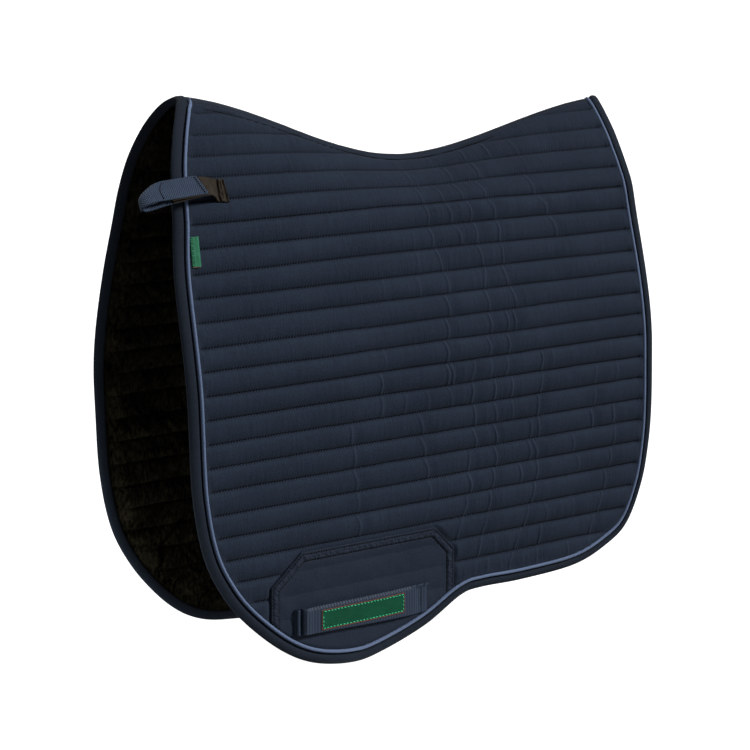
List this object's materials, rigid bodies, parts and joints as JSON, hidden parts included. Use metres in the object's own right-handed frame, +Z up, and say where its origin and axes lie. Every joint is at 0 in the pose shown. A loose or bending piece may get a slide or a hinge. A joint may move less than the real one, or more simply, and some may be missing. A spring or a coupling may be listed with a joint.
{
  "type": "saddle pad",
  "caption": "Quilted dressage saddle pad of two bound, piped flaps joined at a shaped spine, with a hook-and-loop billet strap and webbing girth keepers.",
  "frame": {"origin": "underside of the spine at its lowest point, where the pad rests on the horse's back", "axes": "+Z up, the horse's head towards -X, the near (left) flap towards -Y"},
  "size_m": [0.6891, 0.2012, 0.6155],
  "materials": {
    "cover_twill": "navy cotton twill, quilted in rows",
    "binding_twill": "navy twill bias binding",
    "lining_plush": "dark plush lining",
    "piping_cord": "steel-blue corded piping",
    "wadding": "lofted fibre wadding",
    "thread": "navy quilting thread",
    "patch_cloth": "smooth navy wear cloth",
    "webbing": "steel-blue woven webbing",
    "hook_and_loop": "brown hook-and-loop tape",
    "label_cloth": "bare green woven label"
  },
  "bodies": {
    "crown": {"spine_tape": "binding_twill", "spine_inner_tape": "lining_plush", "front_binding": "binding_twill", "rear_binding": "binding_twill", "front_piping": "piping_cord", "rear_piping": "piping_cord", "near_upper_cover": "cover_twill", "near_upper_core": "wadding", "near_upper_lining": "lining_plush", "near_fold_seam": "thread", "near_billet_anchor": "hook_and_loop", "near_billet_root": "hook_and_loop", "far_upper_cover": "cover_twill", "far_upper_core": "wadding", "far_upper_lining": "lining_plush", "far_fold_seam": "thread"},
    "near_flap": {"near_flap_cover": "cover_twill", "near_flap_core": "wadding", "near_flap_lining": "lining_plush", "near_flap_binding": "binding_twill", "near_flap_piping": "piping_cord", "near_girth_patch": "patch_cloth", "near_keeper_ends": "webbing"},
    "near_keeper": {"near_keeper_strap": "webbing", "near_keeper_label": "label_cloth"},
    "near_billet": {"near_billet_strap": "webbing"},
    "near_billet_tab": {"near_billet_tail": "webbing", "near_billet_hook_tape": "hook_and_loop"},
    "far_flap": {"far_flap_cover": "cover_twill", "far_flap_core": "wadding", "far_flap_lining": "lining_plush", "far_flap_binding": "binding_twill", "far_flap_piping": "piping_cord", "far_girth_patch": "patch_cloth", "far_keeper_ends": "webbing"},
    "far_keeper": {"far_keeper_strap": "webbing", "far_keeper_label": "label_cloth"},
    "flag": {"flag_label": "label_cloth"}
  },
  "joints": [
    {"name": "near_flap_fold", "type": "hinge", "parent": "crown", "child": "near_flap", "pos_m": [0, -0.05244, -0.03774], "axis": [-1, 0, 0], "range_deg": [-8, 60], "stiffness_Nm_per_rad": 1, "springref_deg": 5.73},
    {"name": "near_billet_swing", "type": "hinge", "parent": "crown", "child": "near_billet", "pos_m": [-0.309, -0.0604, 0.0022], "axis": [-0.1478, 0.7233, 0.6745], "range_deg": [0, 90]},
    {"name": "near_billet_peel", "type": "hinge", "parent": "near_billet", "child": "near_billet_tab", "pos_m": [-0.38416, -0.07148, -0.00239], "axis": [0.1478, -0.7233, -0.6745], "range_deg": [0, 100]},
    {"name": "near_keeper_slack", "type": "slide", "parent": "near_flap", "child": "near_keeper", "axis": [0, -1, 0], "range_m": [0, 0.012]},
    {"name": "far_flap_fold", "type": "hinge", "parent": "crown", "child": "far_flap", "pos_m": [0, 0.05244, -0.03774], "axis": [1, 0, 0], "range_deg": [-8, 60], "stiffness_Nm_per_rad": 1, "springref_deg": 5.73},
    {"name": "far_keeper_slack", "type": "slide", "parent": "far_flap", "child": "far_keeper", "axis": [0, 1, 0], "range_m": [0, 0.012]},
    {"name": "flag_flip", "type": "hinge", "parent": "near_flap", "child": "flag", "pos_m": [-0.3245, -0.06376, -0.0633], "axis": [0, -0.1908, -0.9816], "range_deg": [0, 80]}
  ]
}
